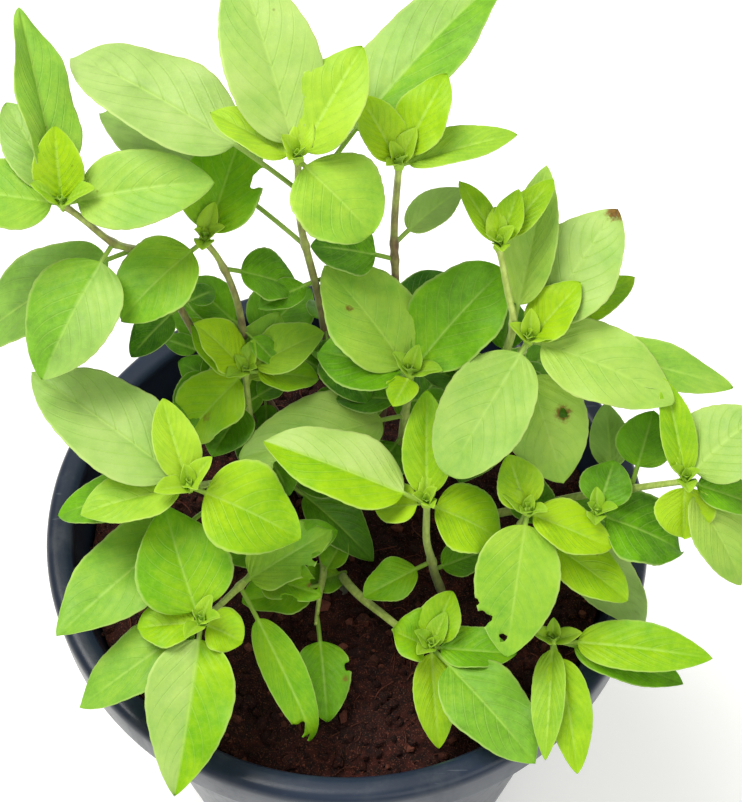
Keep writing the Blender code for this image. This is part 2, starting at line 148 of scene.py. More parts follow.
# ---- meshes
class Piece:
    """Collects vertex and face arrays, with named per-vertex values, into one mesh object."""

    def __init__(self):
        self.points, self.quads, self.tris, self.values, self.uv, self.count = [], [], [], {}, [], 0

    def add(self, points, quads=None, tris=None, uv=None, **values):
        points = np.asarray(points, float).reshape(-1, 3)
        if quads is not None and len(quads):
            self.quads.append(np.asarray(quads, int) + self.count)
        if tris is not None and len(tris):
            self.tris.append(np.asarray(tris, int) + self.count)
        for name, value in values.items():
            each = np.broadcast_to(np.asarray(value, float).ravel(), len(points))
            self.values.setdefault(name, []).append(each)
        self.uv.append(np.zeros((len(points), 2)) if uv is None else np.asarray(uv, float).reshape(-1, 2))
        self.points.append(points)
        self.count += len(points)

    def build(self, name, material, slot=None, replaces=(), smooth=True):
        mesh = bpy.data.meshes.new(name)
        quads = np.concatenate(self.quads) if self.quads else np.zeros((0, 4), int)
        tris = np.concatenate(self.tris) if self.tris else np.zeros((0, 3), int)
        corners = np.concatenate([quads.ravel(), tris.ravel()])
        sizes = np.concatenate([np.full(len(quads), 4), np.full(len(tris), 3)])
        mesh.vertices.add(self.count)
        mesh.vertices.foreach_set("co", np.concatenate(self.points).ravel())
        mesh.loops.add(len(corners))
        mesh.loops.foreach_set("vertex_index", corners)
        mesh.polygons.add(len(sizes))
        mesh.polygons.foreach_set("loop_start", np.concatenate([[0], np.cumsum(sizes)[:-1]]))
        mesh.polygons.foreach_set("use_smooth", np.full(len(sizes), smooth))
        mesh.update(calc_edges=True)
        layer = mesh.uv_layers.new(name="own")
        layer.data.foreach_set("uv", np.concatenate(self.uv)[corners].ravel())
        for key, chunks in self.values.items():
            mesh.attributes.new(key, "FLOAT", "POINT").data.foreach_set("value", np.concatenate(chunks))
        mesh.materials.append(material)
        obj = bpy.data.objects.new(name, mesh)
        bpy.context.scene.collection.objects.link(obj)
        if slot:
            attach(obj, "root")
        if replaces:
            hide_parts(*replaces)
        return obj


def smooth_step(x, low, high):
    """0 below low, 1 above high, an S curve between."""
    t = np.clip((np.asarray(x, float) - low) / (high - low), 0, 1)
    return t * t * (3 - 2 * t)


def grid_quads(rows, cols, wrap=False):
    """Faces of a rows x cols grid of points, wound so that row direction x column direction points out."""
    i, j = np.meshgrid(np.arange(rows - 1), np.arange(cols if wrap else cols - 1), indexing="ij")
    k = (j + 1) % cols
    return np.stack([i * cols + j, (i + 1) * cols + j, (i + 1) * cols + k, i * cols + k], -1).reshape(-1, 4)


def fans(ring, pole, flip):
    """Triangles that close a ring of indices on a pole."""
    nxt = np.roll(ring, -1)
    first, second = (nxt, ring) if flip else (ring, nxt)
    return np.stack([first, second, np.full_like(ring, pole)], -1)


def value_noise(x, y, seed):
    """Smooth value noise in the plane: lattice values blended by an S curve."""
    table = np.random.default_rng(seed).random((256, 256))
    xi, yi = np.floor(x).astype(int), np.floor(y).astype(int)
    fx, fy = x - xi, y - yi
    fx, fy = fx * fx * (3 - 2 * fx), fy * fy * (3 - 2 * fy)
    a, b = table[xi % 256, yi % 256], table[(xi + 1) % 256, yi % 256]
    c, d = table[xi % 256, (yi + 1) % 256], table[(xi + 1) % 256, (yi + 1) % 256]
    return (a * (1 - fx) + b * fx) * (1 - fy) + (c * (1 - fx) + d * fx) * fy - 0.5


def tube(path, radii, sides, square=0.0):
    """Tube along a path: each ring is radius(t) * (1 + square * cos 4a) in the plane across the path;
    both ends are closed on a pole."""
    path, radii = np.asarray(path, float), np.asarray(radii, float)
    tangent = np.gradient(path, axis=0)
    tangent /= np.linalg.norm(tangent, axis=1)[:, None]
    across = np.cross(tangent, (0.31, 0.95, 0.05))
    across /= np.linalg.norm(across, axis=1)[:, None]
    over = np.cross(tangent, across)
    a = np.linspace(0, math.tau, sides, endpoint=False)
    bulge = 1 + square * np.cos(4 * a)
    ring = (across[:, None] * (np.cos(a) * bulge)[None, :, None]
            + over[:, None] * (np.sin(a) * bulge)[None, :, None])
    points = (path[:, None] + ring * radii[:, None, None]).reshape(-1, 3)
    n = len(path)
    quads = grid_quads(n, sides, wrap=True)[:, ::-1]
    points = np.concatenate([points, path[:1], path[-1:]])
    first, last = np.arange(sides), np.arange((n - 1) * sides, n * sides)
    tris = np.concatenate([fans(first, n * sides, True), fans(last, n * sides + 1, False)])
    share = np.concatenate([np.repeat(np.linspace(0, 1, n), sides), [0, 1]])
    around = np.concatenate([np.tile(a / math.tau, n), [0, 0]])
    return points, quads, tris, share, around


def turned(profile, steps, wobble=None):
    """Profile of (radius, height) from pole to pole, turned about Z; wobble(angle, height) scales radii."""
    profile = np.asarray(profile, float)
    a = np.linspace(0, math.tau, steps, endpoint=False)
    r, z = profile[1:-1, 0], profile[1:-1, 1]
    rr = r[:, None] * (np.ones((len(r), steps)) if wobble is None else wobble(a[None], z[:, None]))
    points = np.stack([rr * np.cos(a), rr * np.sin(a), np.broadcast_to(z[:, None], rr.shape)], -1)
    poles = np.array([[0, 0, profile[0, 1]], [0, 0, profile[-1, 1]]])
    n = len(r)
    quads = grid_quads(n, steps, wrap=True)
    tris = np.concatenate([fans(np.arange(steps), n * steps, False),
                           fans(np.arange((n - 1) * steps, n * steps), n * steps + 1, True)])
    length = np.concatenate([[0], np.cumsum(np.hypot(np.diff(r), np.diff(z)))])
    uv = np.stack([np.tile(a / math.tau, n), np.repeat(length / length[-1], steps)], -1)
    return np.concatenate([points.reshape(-1, 3), poles]), quads, tris, np.concatenate([uv, [[0, 0], [0, 1]]])


# ---- shoots and leaves
def shoot_path(points, steps):
    """Smooth middle line through a shoot's points (Catmull-Rom), in metres."""
    pts = np.array([(x * UNIT, y * UNIT, SOIL_TOP + FIT_GAP + z * UNIT) for x, y, z in points])
    pts = np.vstack([2 * pts[0] - pts[1], pts, 2 * pts[-1] - pts[-2]])
    t = np.linspace(0, 1, steps, endpoint=False)[:, None]
    line = [0.5 * (2 * b + (c - a) * t + (2 * a - 5 * b + 4 * c - d) * t ** 2
                   + (3 * b - a - 3 * c + d) * t ** 3)
            for a, b, c, d in zip(pts, pts[1:], pts[2:], pts[3:])]
    return np.concatenate(line + [pts[-2:-1]])


def run_of(line):
    """Length of the line up to each of its points."""
    return np.concatenate([[0], np.cumsum(np.linalg.norm(np.diff(line, axis=0), axis=1))])


def along(line, share):
    """Point, direction and stem radius at a share of the line's length."""
    run = run_of(line)
    run /= run[-1]
    point = np.array([np.interp(share, run, line[:, k]) for k in range(3)])
    i = min(np.searchsorted(run, share, side="right") - 1, len(line) - 2)
    tangent = line[i + 1] - line[i]
    return point, tangent / np.linalg.norm(tangent), STEM_BASE + (STEM_TIP - STEM_BASE) * share


SIDE_VEINS = 7.5  # side veins on each half of a blade
BIG_BLADE = 14  # blades longer than this, in UNIT, get the fine mesh, pillows and full thickness
BLADE_WIDER = 1.06  # width of the fine blade as a share of the table's
BLADE_THICK = 0.00030
STALK_RADIUS, SMALL_STALK_RADIUS = 0.00075, 0.0004
BITE_REACH = 0.0016  # mesh points this near a bite's outline move onto it


def vein_phase(q, v):
    """Side veins leave the midrib and sweep towards the tip: lines of equal q - 0.34|v| - 0.12 v^2."""
    return (q - 0.34 * np.abs(v) - 0.12 * v * v) * SIDE_VEINS


def add_leaf(piece, start, shape, look, seed):
    """One leaf as a closed thin shell. Along s from stalk to tip the middle line turns by the arch, plus a
    bend sideways and a curl near the tip; across v from edge to edge the half width is
    width/2 * q^base (1-q)^point scaled to peak at one, joined to the round stalk. Height above the middle
    line is the fold, edge waves, pillows between the side veins and a groove on the midrib."""
    rng = np.random.default_rng(seed)
    direction, lift, length, width, stalk, arch, fold, roll = shape
    lift = lift + look.get("lift", 0)
    big = length - stalk > BIG_BLADE
    turn, lift, arch, fold, roll = (math.radians(x) for x in (direction, lift, arch, fold, roll))
    size, width, stalk = length * UNIT, BLADE_WIDER * width * UNIT, max(stalk, 1) * UNIT
    bend = math.radians(rng.uniform(-9, 9))
    curl = math.radians(look.get("curl", rng.uniform(-4, 12)))
    twist = math.radians(rng.uniform(-10, 10))
    wave = look.get("wave", rng.uniform(0.02, 0.045))
    waves = rng.uniform(1.2, 2.4, 2)
    phase = rng.uniform(0, math.tau, 2)
    share = stalk / size

    s = np.linspace(0, 1, 161)
    pitch = lift + arch * (0.5 - s) - curl * smooth_step(s, 0.72, 1.0)
    yaw = turn + bend * (s - 0.5)
    ahead = np.stack([np.cos(pitch) * np.cos(yaw), np.cos(pitch) * np.sin(yaw), np.sin(pitch)], -1)
    middle = np.concatenate([np.zeros((1, 3)), np.cumsum((ahead[1:] + ahead[:-1]) / 2, axis=0)])
    middle *= size / np.linalg.norm(middle[-1])
    aside = np.stack([-np.sin(yaw), np.cos(yaw), 0 * yaw], -1)
    above = np.cross(ahead, aside)
    spin = (roll + twist * (s - 0.4))[:, None]
    table = np.concatenate([middle, aside * np.cos(spin) + above * np.sin(spin),
                            above * np.cos(spin) - aside * np.sin(spin)], axis=1)

    stalk_rows, rows, cols = (5, 42, 28) if big else (3, 18, 12)
    rows = int(rows * look.get("fine", 1))
    cols = int(cols * look.get("fine", 1)) // 2 * 2
    x = np.linspace(0, 1, rows + 1)
    x = 0.45 * x + 0.55 * (1 - np.cos(math.pi * x)) / 2
    ss = np.concatenate([np.linspace(0, share, stalk_rows, endpoint=False), share + (1 - share) * x])
    vv = np.linspace(-1, 1, cols + 1)
    vv = np.sign(vv) * np.abs(vv) ** 0.92
    S, V = np.meshgrid(ss, vv, indexing="ij")
    low, high = look.get("base", 0.52), look.get("point", 0.80)
    peak = (low / (low + high)) ** low * (high / (low + high)) ** high
    round_stalk = STALK_RADIUS if big else SMALL_STALK_RADIUS

    def half_width(s, v):
        q = np.clip((s - share) / (1 - share), 0, 1)
        h = width / 2 * np.maximum(q, 1e-6) ** low * (1 - q) ** high / peak * (q > 0)
        teeth = np.abs(np.sin(math.pi * (q * 10 + 0.15 * np.sign(v)))) - 0.5
        h = h * (1 + 0.022 * teeth * smooth_step(q, 0.1, 0.3) * np.abs(v) ** 6)
        return np.hypot(h, round_stalk * (1 - smooth_step(q, 0.5, 1.0) * 0.93))

    def place(q, v):
        """Distance from the start and from the middle line of the point q along the blade and v across it."""
        s = share + (1 - share) * q
        return s * size, v * half_width(s, 0.0)

    keep = np.ones((len(ss) - 1, cols), bool)
    for q0, v0, r0 in look.get("bites", ()):
        x0, y0 = place(q0, v0)
        X, Y = S * size, V * half_width(S, V)
        angle = np.arctan2(Y - y0, X - x0)
        radius = r0 * UNIT * (1 + 0.16 * np.sin(3 * angle + seed) + 0.10 * np.sin(5 * angle + 2 * seed))
        gap = np.hypot(X - x0, Y - y0) - radius
        gone = (gap[:-1, :-1] + gap[1:, :-1] + gap[:-1, 1:] + gap[1:, 1:]) / 4 < 0
        keep &= ~gone
        near = np.zeros(S.shape, bool)
        for a in (slice(0, -1), slice(1, None)):
            for b in (slice(0, -1), slice(1, None)):
                near[a, b] |= gone
        move = near & (np.abs(gap) < BITE_REACH)
        X = np.where(move, X - gap * np.cos(angle), X)
        Y = np.where(move, Y - gap * np.sin(angle), Y)
        S = np.clip(X / size, 0, 1)
        V = np.clip(np.where(move, Y / half_width(S, V), V), -1, 1)

    Q = np.clip((S - share) / (1 - share), 0, 1)
    H = half_width(S, V)
    A = np.abs(V)
    y = V * H
    blade = smooth_step((S - share) / (1 - share), -0.02, 0.07)
    fold_at = fold * (1 - 0.35 * A) * blade
    side_phase = np.where(V > 0, phase[0], phase[1])
    side_waves = np.where(V > 0, waves[0], waves[1])
    z = H * A * np.sin(fold_at)
    z += wave * width * np.sin(math.tau * side_waves * Q + side_phase) * A ** 2.2 * blade
    if big:
        pillow = np.cos(math.pi * vein_phase(Q, V)) ** 2
        inside = smooth_step(A, 0.03, 0.25) * (1 - smooth_step(A, 0.7, 1.0))
        z += 0.00060 * (pillow - 0.5) * inside * blade * (1 - Q)
    z -= 0.00045 * np.exp(-(y / 0.0009) ** 2) * blade * np.sqrt(1 - Q * 0.98)
    at = [np.interp(S, s, table[:, k]) for k in range(9)]
    mid, across, face = (np.stack(at[k:k + 3], -1) for k in (0, 3, 6))
    P = np.asarray(start) + mid + across * (y * np.cos(fold_at))[..., None] + face * z[..., None]
    thick = (BLADE_THICK * (1 - 0.5 * A ** 2) * blade
             + (1 - blade) * (1.7 * round_stalk * np.sqrt(np.clip(1 - V * V, 0, 1)) + 0.0001))
    if not big:
        thick = thick * 0.7
    keel = 0.00032 * np.exp(-(y / 0.0006) ** 2) * blade * np.sqrt(1 - Q * 0.98) * (1.0 if big else 0.5)
    top = P + face * (thick / 2)[..., None]
    under = P - face * (thick / 2 + keel)[..., None]

    quads = grid_quads(len(ss), cols + 1)[keep.ravel()]
    total = S.size
    edges = np.concatenate([quads[:, [k, (k + 1) % 4]] for k in range(4)])
    code = edges[:, 0] * total + edges[:, 1]
    back = edges[:, 1] * total + edges[:, 0]
    rim = edges[~np.isin(code, back)]
    walls = np.stack([rim[:, 1], rim[:, 0], rim[:, 0] + total, rim[:, 1] + total], -1)
    faces = np.concatenate([quads, quads[:, ::-1] + total, walls])
    used = np.unique(faces)
    renumber = np.full(2 * total, -1)
    renumber[used] = np.arange(len(used))

    stain = np.zeros(S.shape)
    for q0, v0, r0, strength in look.get("stains", ()):
        x0, y0 = place(q0, v0)
        away = (S * size - x0) ** 2 + (y - y0) ** 2
        stain = np.maximum(stain, strength * np.exp(-away / (r0 * UNIT) ** 2))
    # Painted sheen: how far the blade is painted pale for the sky's reflection, over all of it or on one half.
    pale = (look.get("pale", 0.0) + look.get("pale_left", 0.0) * smooth_step(V, -0.04, 0.04)
            + look.get("pale_right", 0.0) * smooth_step(-V, -0.04, 0.04))
    two = lambda a: np.concatenate([np.ravel(a), np.ravel(a)])[used]
    upper = np.concatenate([np.ones(total), np.zeros(total)])[used]
    piece.add(np.concatenate([top.reshape(-1, 3), under.reshape(-1, 3)])[used], renumber[faces],
              uv=np.stack([two(S) * 0.48 + 0.5 * (1 - upper), two(V) * 0.5 + 0.5], -1),
              leaf_q=two((S - share) / (1 - share)), leaf_v=two(V), leaf_up=upper,
              leaf_tone=np.full(len(used), look["tone"]), leaf_pale=two(np.clip(pale, 0, 1.2) + 0 * S),
              leaf_stain=two(stain), leaf_half=two(H * 1000))


def add_bud(piece, centre, radius, seed):
    """Small lumpy growing tip."""
    profile = [(0, 1.1), (0.45, 0.95), (0.8, 0.55), (0.95, 0.0), (0.85, -0.5), (0.55, -1.1), (0.42, -1.7),
               (0, -1.8)]
    ripple = lambda a, z: 1 + 0.12 * np.cos(4 * a + seed)
    points, quads, tris, _ = turned(profile, 16, ripple)
    piece.add(points * radius + centre, quads[:, ::-1], tris[:, ::-1], leaf_q=0.02, leaf_v=0.0, leaf_up=1.0,
              leaf_tone=0.75, leaf_pale=0.0, leaf_stain=0.0, leaf_half=1.0)


# ---- shader arithmetic
def one_node(operation):
    """Method that makes one Math node of this operation."""
    return lambda self, *others: self.maths(operation, *others)


class Sock:
    """A node socket that takes + - * and / with numbers or other sockets, each as one Math node."""

    __add__ = __radd__ = one_node("ADD")
    __mul__ = __rmul__ = one_node("MULTIPLY")
    __sub__, __truediv__ = one_node("SUBTRACT"), one_node("DIVIDE")
    __abs__, high = one_node("ABSOLUTE"), one_node("MAXIMUM")
    exp, frac = one_node("EXPONENT"), one_node("FRACT")

    def __init__(self, net, socket):
        self.net, self.socket = net, socket

    def maths(self, operation, *others):
        return self.net.node("ShaderNodeMath", {"operation": operation}, dict(enumerate((self, *others))))

    def __rsub__(self, other):
        return self.net.node("ShaderNodeMath", {"operation": "SUBTRACT"}, {0: other, 1: self})

    def clip(self):
        return self.net.node("ShaderNodeClamp", {}, {"Value": self})

    def ramp(self, low, high):
        """0 at low, 1 at high, an S curve between; low may be above high."""
        return self.net.node("ShaderNodeMapRange", {"interpolation_type": "SMOOTHSTEP"},
                             {"Value": self, "From Min": low, "From Max": high})

    def bell(self, width):
        """exp(-(x / width)^2)."""
        scaled = self / width
        return (scaled * scaled * -1.0).exp()


class Net:
    """Node tree of one material. node() adds any node: settings first, then its inputs."""

    def __init__(self, name):
        self.mat = bpy.data.materials.new(name)
        self.mat.use_nodes = True
        self.tree = self.mat.node_tree
        self.tree.nodes.clear()

    def link(self, value, target):
        if isinstance(value, Sock):
            self.tree.links.new(value.socket, target)
        elif hasattr(value, "__len__") and len(value) == 3 and target.type == "RGBA":
            target.default_value = (*value, 1.0)
        else:
            target.default_value = value

    def node(self, kind, settings=None, inputs=None, out=0):
        made = self.tree.nodes.new(kind)
        for key, value in (settings or {}).items():
            setattr(made, key, value)
        for key, value in (inputs or {}).items():
            self.link(value, made.inputs[key])
        return Sock(self, made.outputs[out])

    def attribute(self, name):
        return self.node("ShaderNodeAttribute", {"attribute_name": name}, out="Fac")

    def noise(self, scale, detail=2.0, rough=0.5, stretch=None):
        where = self.node("ShaderNodeTexCoord", out="Object")
        if stretch:
            where = self.node("ShaderNodeVectorMath", {"operation": "MULTIPLY"}, {0: where, 1: stretch})
        inputs = {"Vector": where, "Scale": scale, "Detail": detail, "Roughness": rough}
        return self.node("ShaderNodeTexNoise", {}, inputs)

    def cells(self, scale, feature="F1"):
        """Voronoi distance: to each cell's point, or to its edge."""
        where = self.node("ShaderNodeTexCoord", out="Object")
        inputs = {"Vector": where, "Scale": scale}
        return self.node("ShaderNodeTexVoronoi", {"feature": feature}, inputs, out="Distance")

    def height(self):
        where = self.node("ShaderNodeTexCoord", out="Object")
        return self.node("ShaderNodeSeparateXYZ", {}, {0: where}, out="Z")

    def mix(self, share, a, b):
        """a where share is 0, b where it is 1."""
        made = self.tree.nodes.new("ShaderNodeMix")
        made.data_type, made.clamp_factor = "RGBA", True
        self.link(share, made.inputs[0])
        self.link(a, made.inputs[6])
        self.link(b, made.inputs[7])
        return Sock(self, made.outputs[2])

    def bump(self, height, strength, distance):
        return self.node("ShaderNodeBump", {}, {"Height": height, "Strength": strength, "Distance": distance})

    def finish(self, colour, roughness, normal=None, glow=None, share=0.0, **plain):
        inputs = {"Base Color": colour, "Roughness": roughness, "Metallic": 0.0}
        inputs.update({key.replace("_", " "): value for key, value in plain.items()})
        if normal is not None:
            inputs["Normal"] = normal
        surface = self.node("ShaderNodeBsdfPrincipled", {}, inputs)
        if glow is not None:
            thin = self.node("ShaderNodeBsdfTranslucent", {}, {"Color": glow})
            surface = self.node("ShaderNodeMixShader", {}, {0: share, 1: surface, 2: thin})
        end = self.tree.nodes.new("ShaderNodeOutputMaterial")
        self.tree.links.new(surface.socket, end.inputs["Surface"])
        return self.mat


# ---- materials
def leaf_material(name, shift):
    """Soft green leaf: midrib and swept side veins paler, blades mottled, margins a little pale, painted shade
    along the side veins, a painted sheen on some surfaces standing for the sky's pale reflection, undersides
    greyer, light coming through."""
    net = Net(name)
    q, v, up = net.attribute("leaf_q"), net.attribute("leaf_v"), net.attribute("leaf_up")
    tone, pale = net.attribute("leaf_tone"), net.attribute("leaf_pale")
    stain, half = net.attribute("leaf_stain"), net.attribute("leaf_half")
    wide, fine = net.noise(75.0, 3.0, 0.55), net.noise(900.0, 3.0, 0.6)
    patch = net.noise(260.0, 4.0, 0.65)
    side = abs(v)
    phase = (q - side * 0.34 - side * side * 0.12) * SIDE_VEINS + (wide - 0.5) * 0.25
    ridge = abs(phase.frac() - 0.5) * 2.0
    line = ridge.ramp(0.80, 1.0)
    line = line * side.ramp(1.02, 0.62) * q.ramp(1.0, 0.7) * q.ramp(0.0, 0.10)
    rib = (side * half).bell(0.42) * q.ramp(1.02, 0.55) * 0.9
    net_veins = net.cells(520.0, "DISTANCE_TO_EDGE").ramp(0.10, 0.0) * 0.16
    shade = tone + shift + (wide - 0.5) * 0.55 + (patch - 0.5) * 0.55 + (fine - 0.5) * 0.14
    # Painted shade and light of the pillows: darker along the side veins, lighter between them; brighter
    # towards the stalk.
    shade = shade + (0.5 - ridge) * side.ramp(1.05, 0.5) * 0.07 + (0.12 - q.ramp(0.0, 0.6) * 0.14)
    colour = net.mix(shade * 2.0, (0.020, 0.110, 0.002), (0.150, 0.400, 0.002))
    colour = net.mix(shade * 2.0 - 1.0, colour, (0.370, 0.600, 0.005))
    # Painted sheen: the blade painted pale mint where it stands for the sky's reflection, a little less on the
    # veins.
    painted_sheen = (pale * (0.80 + (wide - 0.5) * 1.0) - line * 0.18 * pale).clip()
    colour = net.mix(painted_sheen, colour, (0.500, 0.630, 0.240))
    veins = (line * 0.40).high(rib).high(net_veins) * (0.42 - 0.12 * painted_sheen)
    colour = net.mix(veins, colour, (0.520, 0.760, 0.150))
    edge = side.ramp(0.92, 1.0) * q.ramp(0.0, 0.1) * 0.42
    colour = net.mix(edge, colour, (0.640, 0.780, 0.260))
    under = (1.0 - up) * 0.55
    colour = net.mix(under, colour, (0.300, 0.500, 0.080))
    spots = net.cells(150.0).ramp(0.085, 0.03) * net.noise(38.0).ramp(0.60, 0.72) * 0.55
    brown = (stain * (0.75 + (fine - 0.5) * 1.6)).ramp(0.22, 0.62).high(spots * side.ramp(1.0, 0.9))
    dead = net.mix(fine.ramp(0.35, 0.65), (0.090, 0.035, 0.006), (0.230, 0.120, 0.020))
    colour = net.mix(brown, colour, dead)
    stalk = q.ramp(0.02, -0.03)
    colour = net.mix(stalk * 0.7, colour, (0.260, 0.400, 0.060))
    lift = wide * 0.25 + patch * 0.35 + fine * 0.25 - line * 0.40 + rib * 0.5
    normal = net.bump(lift, 0.50, 0.00050)
    rough = 0.47 + (fine - 0.5) * 0.12 - painted_sheen * 0.04
    return net.finish(colour, rough, normal, (0.300, 0.500, 0.020, 1.0), 0.17, Specular_IOR_Level=0.22)


def stem_material():
    """Olive green stems, purple-brown and woody towards the soil, finely ribbed along their length."""
    net = Net("stem_green")
    share, tint = net.attribute("stem_share"), net.attribute("stem_tint")
    around = net.attribute("stem_around")
    wide, fine = net.noise(120.0, 3.0), net.noise(700.0, 3.0, 0.6, (1.0, 1.0, 0.35))
    old = (tint + (wide - 0.5) * 0.9 - share * 0.55).ramp(0.10, 0.75)
    fresh = net.mix(fine.ramp(0.3, 0.7), (0.330, 0.440, 0.060), (0.490, 0.600, 0.140))
    woody = net.mix(fine.ramp(0.3, 0.7), (0.085, 0.038, 0.026), (0.210, 0.120, 0.060))
    colour = net.mix(old, fresh, woody)
    ridge = (abs((around * 4.0).frac() - 0.5) * 2.0).ramp(0.2, 1.0)
    colour = net.mix(ridge * 0.25, colour, (0.080, 0.120, 0.020))
    return net.finish(colour, 0.55 + (fine - 0.5) * 0.2, net.bump(fine * 0.6 + ridge * 0.4, 0.35, 0.0003),
                      Sheen_Weight=0.15, Sheen_Roughness=0.5)


def soil_material():
    """Damp cocopeat: dark red-brown dust, paler grains, each crumb with its own tone."""
    net = Net("soil_cocopeat")
    own = net.attribute("crumb_tone")
    wide, grain, dust = net.noise(55.0, 4.0, 0.6), net.noise(420.0, 4.0, 0.65), net.noise(2200.0, 2.0, 0.6)
    colour = net.mix(grain.ramp(0.32, 0.68), (0.003, 0.0010, 0.0010), (0.056, 0.011, 0.007))
    colour = net.mix(wide.ramp(0.30, 0.65) * 0.70, colour, (0.008, 0.0022, 0.002))
    colour = net.mix(dust.ramp(0.57, 0.70) * 0.50, colour, (0.300, 0.105, 0.062))
    colour = net.mix(own.ramp(0.60, 1.0) * 0.50, colour, (0.240, 0.075, 0.046))
    colour = net.mix(own.ramp(0.45, 0.0) * 0.55, colour, (0.010, 0.003, 0.0025))
    return net.finish(colour, 0.92 + (grain - 0.5) * 0.1, net.bump(grain * 0.6 + dust * 0.4, 0.9, 0.0008),
                      Specular_IOR_Level=0.25)


def pot_material():
    """Dark slate plastic, faintly mottled, dusted on its ledges and rubbed along the rim."""
    net = Net("pot_plastic")
    wide, mid, fine = net.noise(26.0, 3.0), net.noise(240.0, 4.0, 0.6), net.noise(1500.0, 2.0)
    smear = net.noise(60.0, 4.0, 0.65, (1.0, 1.0, 0.12))
    colour = net.mix(wide.ramp(0.3, 0.7), (0.007, 0.013, 0.027), (0.014, 0.023, 0.045))
    dust = smear.ramp(0.50, 0.78) * 0.30 + mid.ramp(0.60, 0.80) * 0.14
    top = net.height().ramp(POT_HEIGHT - 0.004, POT_HEIGHT)
    colour = net.mix(dust * (0.55 + 0.45 * top), colour, (0.075, 0.085, 0.100))
    scratch = net.noise(900.0, 2.0, 0.5, (0.06, 1.0, 1.0)).ramp(0.70, 0.76) * 0.35
    colour = net.mix(scratch * top, colour, (0.120, 0.140, 0.165))
    rough = 0.31 + dust * 0.5 + (mid - 0.5) * 0.12
    return net.finish(colour, rough, net.bump(fine * 0.5 + mid * 0.5, 0.12, 0.0004), Specular_IOR_Level=0.28)


def floor_material():
    net = Net("floor")
    return net.finish((0.90, 0.90, 0.90), 0.9, Emission_Color=(1.0, 1.0, 1.0), Emission_Strength=0.22)


# ---- pot
def outside(z):
    """Outer radius of the pot's wall at a height, on a straight taper from the foot."""
    return FOOT_RADIUS + (RIM_RADIUS - RIM_WIDTH + WALL - FOOT_RADIUS) * z / POT_HEIGHT


def make_pot(material):
    """Profile of the pot with its corners eased by arcs, turned about Z, the drain holes cut after."""
    inner, band, ease = RIM_RADIUS - RIM_WIDTH, POT_HEIGHT - BAND_HEIGHT, 0.22 * RIM_WIDTH
    corners = [  # radius, height, size of the arc
        (0.0, FLOOR, 0), (outside(FLOOR + CORNER) - WALL - 0.5 * CORNER, FLOOR, 0.9 * CORNER),
        (outside(FLOOR + 1.8 * CORNER) - WALL, FLOOR + 1.8 * CORNER, 0.0),
        (inner, POT_HEIGHT - 2.4 * ease, 0.001),
        (inner + 0.15 * ease, POT_HEIGHT, 1.5 * ease), (RIM_RADIUS - 0.1 * ease, POT_HEIGHT, 1.9 * ease),
        (RIM_RADIUS - 0.0004, POT_HEIGHT - 3 * ease, 0.002), (RIM_RADIUS - 0.0013, band, 0.0011),
        (outside(band) + 0.0006, band, 0.0008), (outside(band - 0.003), band - 0.003, 0.0006),
        (outside(0.06), 0.06, 0.0), (FOOT_RADIUS, 0.0, 0.0022), (0.0, 0.0, 0)]
    profile = []
    for k, (r, z, size) in enumerate(corners):
        if not size or k in (0, len(corners) - 1):
            profile.append((r, z))
            continue
        p = np.array([r, z])
        a, b = np.array(corners[k - 1][:2]) - p, np.array(corners[k + 1][:2]) - p
        a, b = a / np.linalg.norm(a), b / np.linalg.norm(b)
        for t in np.linspace(0, 1, 9):
            profile.append(tuple(p + a * size * (1 - t) ** 2 + b * size * t ** 2))
    points, quads, tris, uv = turned(profile[::-1], 256)
    piece = Piece()
    piece.add(points, quads, tris, uv=uv)
    pot = piece.build("pot_shell", material, "pot_plastic", ["pot"])
    drill = Piece()
    for i in range(DRAIN_COUNT):
        turn = math.tau * (i + 0.5) / DRAIN_COUNT
        rod, quads, tris, _, _ = tube([(DRAIN_CIRCLE * math.cos(turn), DRAIN_CIRCLE * math.sin(turn), z)
                                       for z in (-0.006, 0.012)], [DRAIN_RADIUS] * 2, 32)
        drill.add(rod, quads, tris)
    cutter = drill.build("drill", material)
    cut = pot.modifiers.new("drains", "BOOLEAN")
    cut.operation, cut.solver, cut.object = "DIFFERENCE", "EXACT", cutter
    bpy.context.view_layer.update()
    holed = bpy.data.meshes.new_from_object(pot.evaluated_get(bpy.context.evaluated_depsgraph_get()))
    pot.modifiers.clear()
    pot.data = holed
    bpy.data.objects.remove(cutter)
    return pot


# ---- soil
CRUMB_COUNT, FIBRE_COUNT = 2600, 300


def soil_height(x, y):
    """Height of the soil: four octaves of value noise, sunk a little at the wall."""
    z = sum(a * value_noise(x * f + 40, y * f + 40, 11 + k)
            for k, (f, a) in enumerate(((70, 0.0038), (160, 0.0022), (390, 0.0013), (900, 0.0007))))
    return SOIL_TOP - 0.0006 + z - 0.004 * smooth_step(np.hypot(x, y), 0.070, 0.090)


